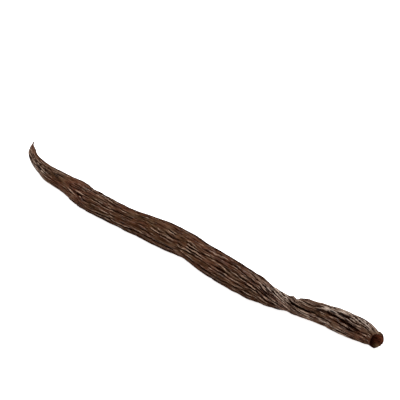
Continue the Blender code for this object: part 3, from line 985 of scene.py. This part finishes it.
def skin_marks(row, side, distance, angle):
    """What the finish needs to know about a point of the skin."""
    cord = strongest(CORDS, distance, wandered(distance, angle)) / CORD_HEIGHT
    return {
        "crest": crests[row, side],
        "cord": min(cord, 1.0),
        "rust": patch(RUSTY, distance, angle),
        "bloom": patch(GREYED, distance, angle),
        # Painted shade, from the flanks' lines and the shaded hollows.
        "shade": max(flank_shade_at(distance, angle), patch(SHADED, distance, angle)),
    }


def scar_marks(ring, angle):
    """The same for a point of the scar: it is still skin outside the lip, and shows flesh or husk inside."""
    depth = LENGTH - scar_rows[ring][0]
    inside = ring >= COLLAR_STEPS
    return {
        "scar": 1.0 if inside else 0.0,
        "flesh": patch(FLESH_WHERE_LIT, depth, angle) if inside else 0.0,
        "bloom": patch(HUSK_AND_HIGHLIGHT, depth, angle) if inside else patch(GREYED, LENGTH, angle),
        "shade": 0.0 if inside else flank_shade_at(LENGTH, angle),
    }


print("marks on each point:", ", ".join(MARKS))

# %% [markdown]
# ## Rolling up the skin
# The faces between the rings could be listed one by one, but a flat grid has them already, so one grid
# becomes the whole pod. Its rows are the rings, its first row is the tip, its last one is the middle of the
# hollow's floor, and its columns run from the one to the other. Each of its points is moved to its place
# and takes its marks along. The two long edges of the grid then meet, as do all the points of its first and
# its last row, and merging them closes the skin.

# %% The mesh
MERGE_DISTANCE = 0.005


def ring_of(row):
    """A row's distance, and its number among the skin's rings or the scar's. The end rows have neither."""
    on_skin = row - 1
    on_scar = on_skin - len(skin_rows)
    if row == 0:
        return 0.0, None, None
    if on_scar < 0:
        return skin_rows[on_skin], on_skin, None
    if on_scar < len(scar_rows):
        return scar_rows[on_scar][0], None, on_scar
    return scar_rows[-1][0], None, None


def point_and_marks(row, side):
    """Where a point of the grid goes, its place in the grain, and its marks."""
    distance, on_skin, on_scar = ring_of(row)
    angle = side_angle(side, distance)
    turned = math.radians(angle - twist_at(distance))
    half = oval_at(distance)[0]
    grain = (half * math.cos(turned), half * math.sin(turned), distance)
    if on_skin is not None:
        point = skin_point(distance, angle, reliefs[on_skin, side])
        return point, grain, skin_marks(on_skin, side, distance, angle)
    if on_scar is not None:
        _, radius, lip, pleated = scar_rows[on_scar]
        return collar_point(distance, radius, angle, lip, pleated), grain, scar_marks(on_scar, angle)
    if row == 0:
        return frame_at(0.0)[0], grain, {}
    return frame_at(LENGTH - HOLLOW_DEPTH)[0], grain, {"scar": 1.0}


def make_skin(name):
    """Rolls a grid up into the pod and stores on each point what the finish needs."""
    bm = bmesh.new()
    bmesh.ops.create_grid(bm, x_segments=ROWS - 1, y_segments=SIDES, size=1.0)
    mark_layers = {key: bm.verts.layers.float.new(key) for key in MARKS}
    grain_layer = bm.verts.layers.float_vector.new("grain")
    # The grid runs from -1 to 1 both ways, and its last column lies on its first.
    for vertex in bm.verts:
        row = round((vertex.co.x + 1.0) / 2.0 * (ROWS - 1))
        side = round((vertex.co.y + 1.0) / 2.0 * SIDES) % SIDES
        point, grain, marks = point_and_marks(row, side)
        for key, value in marks.items():
            vertex[mark_layers[key]] = value
        vertex[grain_layer] = grain
        vertex.co = kept_inside(point * MM)
    bmesh.ops.remove_doubles(bm, verts=bm.verts, dist=MERGE_DISTANCE * MM)
    bmesh.ops.recalc_face_normals(bm, faces=bm.faces)
    mesh = bpy.data.meshes.new(name)
    bm.to_mesh(mesh)
    bm.free()
    mesh.shade_smooth()
    return mesh


pod = bpy.data.objects.new(PIECE, make_skin(PIECE))
bpy.context.scene.collection.objects.link(pod)
print(PIECE, "has", len(pod.data.polygons), "faces")

# %% [markdown]
# ## Sums for the finish
# Shader maths is easier to read as sums than as wires. A small class wraps a node's output and gives it
# plus, minus and times, and one method adds every other sort of node.

# %% Sums that make nodes
class Wire:
    """The output of a node. Python's operators on it add Math nodes to its tree."""

    tree = None

    def __init__(self, socket):
        self.socket = socket

    @classmethod
    def node(cls, kind, settings, sockets, output=0):
        """Adds a node of any type: its settings come first, then the values or links of its sockets."""
        made = cls.tree.nodes.new(kind)
        for name, value in settings.items():
            setattr(made, name, value)
        for name, value in sockets.items():
            if isinstance(value, Wire):
                cls.tree.links.new(value.socket, made.inputs[name])
            else:
                made.inputs[name].default_value = value
        return cls(made.outputs[output])

    @classmethod
    def maths(cls, operation, first, second, clamp=False):
        return cls.node("ShaderNodeMath", {"operation": operation, "use_clamp": clamp}, {0: first, 1: second})

    def __add__(self, other):
        return self.maths("ADD", self, other)

    __radd__ = __add__

    def __sub__(self, other):
        return self.maths("SUBTRACT", self, other)

    def __rsub__(self, other):
        return self.maths("SUBTRACT", other, self)

    def __mul__(self, other):
        return self.maths("MULTIPLY", self, other)

    __rmul__ = __mul__

    def levels(self, gain, lift):
        """The same value, multiplied by a gain and then lifted."""
        return self * gain + lift

    def within(self):
        """The same value, kept from 0 to 1."""
        return self.maths("ADD", self, 0.0, clamp=True)


FACTOR, FIRST_COLOUR, SECOND_COLOUR, MIXED_COLOUR = 0, 6, 7, 2


def mark(name):
    """A number that is stored on the mesh's points."""
    return Wire.node("ShaderNodeAttribute", {"attribute_name": name}, {}, output="Fac")


def mix(share, first, second):
    """The first colour where the share is 0, the second where it is 1."""
    sockets = {FACTOR: share, FIRST_COLOUR: first, SECOND_COLOUR: second}
    return Wire.node("ShaderNodeMix", {"data_type": "RGBA"}, sockets, output=MIXED_COLOUR)


def speckle(round_scale, along_scale, detail):
    """Noise from 0 to 1 that follows the grain, at one scale round the pod and another along it."""
    place = Wire.node("ShaderNodeAttribute", {"attribute_name": "grain"}, {}, output="Vector")
    scale = (round_scale, round_scale, along_scale)
    scaled = Wire.node("ShaderNodeVectorMath", {"operation": "MULTIPLY"}, {0: place, 1: scale})
    return Wire.node("ShaderNodeTexNoise", {}, {"Vector": scaled, "Scale": 1.0, "Detail": detail})


def from_srgb(red, green, blue):
    """A colour as a screen shows it, from 0 to 255, as Blender's linear one."""
    parts = [v / 255.0 for v in (red, green, blue)]
    return tuple(p / 12.92 if p <= 0.04045 else ((p + 0.055) / 1.055) ** 2.4 for p in parts) + (1.0,)


print("a wire has the operators +, - and *")

# %% [markdown]
# ## The finish
# A picture of skin could be wrapped round the pod, but the mesh already knows where its crests and furrows
# are, so sums on its marks are enough. The skin starts from a brown that wanders between a warm and an
# olive one, with the rusty and the greyed patches on it. Crests go pale in broken dashes, partly as dry
# bloom and partly as a painted highlight, furrows and flanks go dark with painted shade, and flecks make
# both uneven. Lines that are too thin for the mesh run along the grain, dark and pale and as bump. Pale,
# dark and lines are all stronger where the skin is dry. The scar is darker and redder; deep in its hollow
# the dark is partly painted shade, and its flesh and one husky streak are partly painted light. A crest is
# a little glossier than a furrow, and a furrow has no sheen at all, because a white reflection would grey
# its dark.

# %% The skin's finish
WARM_BROWN = from_srgb(79, 43, 25)
OLIVE_BROWN = from_srgb(71, 48, 28)
# Painted shade of furrows, flanks and hollows, and the dark of the grain's lines.
SHADE_AND_LINE_DARK = from_srgb(28, 9, 3)
# Pale of crests and cords: dry bloom and painted highlight at once.
CREST_BLOOM_AND_HIGHLIGHT_TAN = from_srgb(158, 130, 110)
CREST_BLOOM_AND_HIGHLIGHT_GREY = from_srgb(186, 168, 154)
RUST = from_srgb(96, 54, 42)
BLOOM_GREY = from_srgb(133, 110, 94)
# The scar's dark is its own at the lip and painted shade deeper in the hollow.
SCAR_DARK_AND_SHADE = from_srgb(42, 14, 7)
SCAR_RED = from_srgb(122, 66, 46)
# The husk's colour also paints a highlight on the rim.
SCAR_HUSK_AND_HIGHLIGHT = from_srgb(150, 122, 88)

# Noises: scale round the pod, scale along it, detail.
MOTTLE = (0.5, 0.2, 3.0)
FLECKS = (1.9, 0.6, 3.0)
LINES = (2.5, 0.22, 2.0)
DASHES = (1.3, 0.28, 2.0)
GRIT = (3.0, 3.0, 4.0)
NOISE_MEAN = 0.5

# Gain and lift: how a strength follows the noise, the tone from furrow to crest, the lines or the dryness.
MOTTLE_CONTRAST = (3.0, -1.0)
LINE_CONTRAST = (5.5, -2.2)
DASH_CONTRAST = (4.0, -1.4)
FLECKS_BY_DRYNESS = (1.32, 2.2)
PALE_BY_TONE = (1.7, -0.7)
PALE_BY_LINES = (1.6, 0.2)
DARK_BY_TONE = (-1.3, -0.15)
DARK_BY_DRYNESS = (0.9, 0.85)
PALE_PART_OF_LINES = (2.0, -1.0)
DARK_PART_OF_LINES = (-2.0, 1.0)
PALE_LINES_BY_DRYNESS = (0.2, 0.12)
DARK_LINES_BY_DRYNESS = (0.375, 0.675)
ROUGHNESS_BY_CREST = (-0.08, 0.52)
SHEEN_BY_CREST = (0.5, 0.1)

# How far a full mark goes towards its colour, and how strong the pale is where the skin isn't dry.
RUST_SHARE = 0.7
BLOOM_SHARE = 0.65
CORD_SHARE = 0.6
PALE_SHARE = 0.8
DAMP_PALE = 0.9
SHADE_SHARE = 0.75

# What is left of the scar's streaks and of the sheen where lines and dashes are nought.
STREAK_FLOOR = 0.5
SHEEN_FLOOR = 0.3

# The bump's heights, what grit and the scar add to the roughness, and how rough the sheen itself is.
LINE_DEPTH = 0.06
GRIT_DEPTH = 0.03
GRIT_ROUGHNESS = 0.12
SCAR_ROUGHNESS = 0.2
COAT_ROUGHNESS = 0.4


def skin_brown(dry):
    """The browns of the skin in patches, before its relief is counted."""
    brown = mix(speckle(*MOTTLE).levels(*MOTTLE_CONTRAST).within(), WARM_BROWN, OLIVE_BROWN)
    brown = mix(mark("rust") * RUST_SHARE, brown, RUST)
    return mix(dry * BLOOM_SHARE, brown, BLOOM_GREY)


def skin_pale_and_highlight(tone, lines, dashes, dry):
    """How pale the skin is: on crests in dashes and on cords, dry bloom and painted highlight at once, and in
    the pale lines.
    """
    crests_and_cords = tone.levels(*PALE_BY_TONE) * dashes + mark("cord") * CORD_SHARE
    broken = crests_and_cords * lines.levels(*PALE_BY_LINES) * (DAMP_PALE + dry)
    fine = lines.levels(*PALE_PART_OF_LINES).within() * dry.levels(*PALE_LINES_BY_DRYNESS)
    return (broken.within() * PALE_SHARE + fine).within()


def skin_dark_and_shade(tone, lines, dry):
    """How dark the skin is: painted shade in furrows, along the flanks and in hollows, and the dark part of
    the lines.
    """
    furrows = (tone.levels(*DARK_BY_TONE) * dry.levels(*DARK_BY_DRYNESS)).within()
    fine = lines.levels(*DARK_PART_OF_LINES).within() * dry.levels(*DARK_LINES_BY_DRYNESS)
    return (furrows + fine + mark("shade") * SHADE_SHARE).within()


def scar_colour(lines, dry):
    """The dark of the hollow, partly painted shade, with flesh and husk in streaks that are partly painted
    light.
    """
    streaks = STREAK_FLOOR + lines
    scar = mix((mark("flesh") * streaks).within(), SCAR_DARK_AND_SHADE, SCAR_RED)
    return mix((dry * streaks).within(), scar, SCAR_HUSK_AND_HIGHLIGHT)


def skin_colour(crest_mark, lines, dashes):
    """The whole colour: browns, then the pale with its painted highlight and the dark with its painted shade,
    and the scar's colour.
    """
    dry = mark("bloom")
    tone = crest_mark + (speckle(*FLECKS) - NOISE_MEAN) * dry.levels(*FLECKS_BY_DRYNESS)
    # Pale crests are partly a painted highlight; dark furrows, flanks and hollows are painted shade.
    colour = mix(skin_pale_and_highlight(tone, lines, dashes, dry), skin_brown(dry), mix(dry, CREST_BLOOM_AND_HIGHLIGHT_TAN, CREST_BLOOM_AND_HIGHLIGHT_GREY))
    colour = mix(skin_dark_and_shade(tone, lines, dry), colour, SHADE_AND_LINE_DARK)
    return mix(mark("scar"), colour, scar_colour(lines, dry))


def make_finish():
    material = bpy.data.materials.new("cured_skin")
    material.use_nodes = True
    Wire.tree = material.node_tree
    shader = material.node_tree.nodes["Principled BSDF"]
    crest_mark = mark("crest")
    lines = speckle(*LINES).levels(*LINE_CONTRAST).within()
    dashes = speckle(*DASHES).levels(*DASH_CONTRAST).within()
    grit = speckle(*GRIT)
    rough = crest_mark.levels(*ROUGHNESS_BY_CREST) + grit * GRIT_ROUGHNESS + mark("scar") * SCAR_ROUGHNESS
    sheen = crest_mark.levels(*SHEEN_BY_CREST) * (SHEEN_FLOOR + dashes) * (1.0 - mark("shade"))
    height = LINE_DEPTH * lines + GRIT_DEPTH * grit
    bump = Wire.node("ShaderNodeBump", {}, {"Strength": 1.0, "Distance": MM, "Height": height})
    links = material.node_tree.links
    links.new(skin_colour(crest_mark, lines, dashes).socket, shader.inputs["Base Color"])
    links.new(rough.within().socket, shader.inputs["Roughness"])
    links.new(sheen.within().socket, shader.inputs["Coat Weight"])
    links.new(bump.socket, shader.inputs["Normal"])
    shader.inputs["Coat Roughness"].default_value = COAT_ROUGHNESS
    shader.inputs["Specular IOR Level"].default_value = 0.0
    return material


pod.data.materials.append(make_finish())
print("finish", pod.data.materials[0].name, "has", len(pod.data.materials[0].node_tree.nodes), "nodes")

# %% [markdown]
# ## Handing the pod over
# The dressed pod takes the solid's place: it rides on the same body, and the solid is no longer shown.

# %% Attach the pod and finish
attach(pod, "root")
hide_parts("pod")
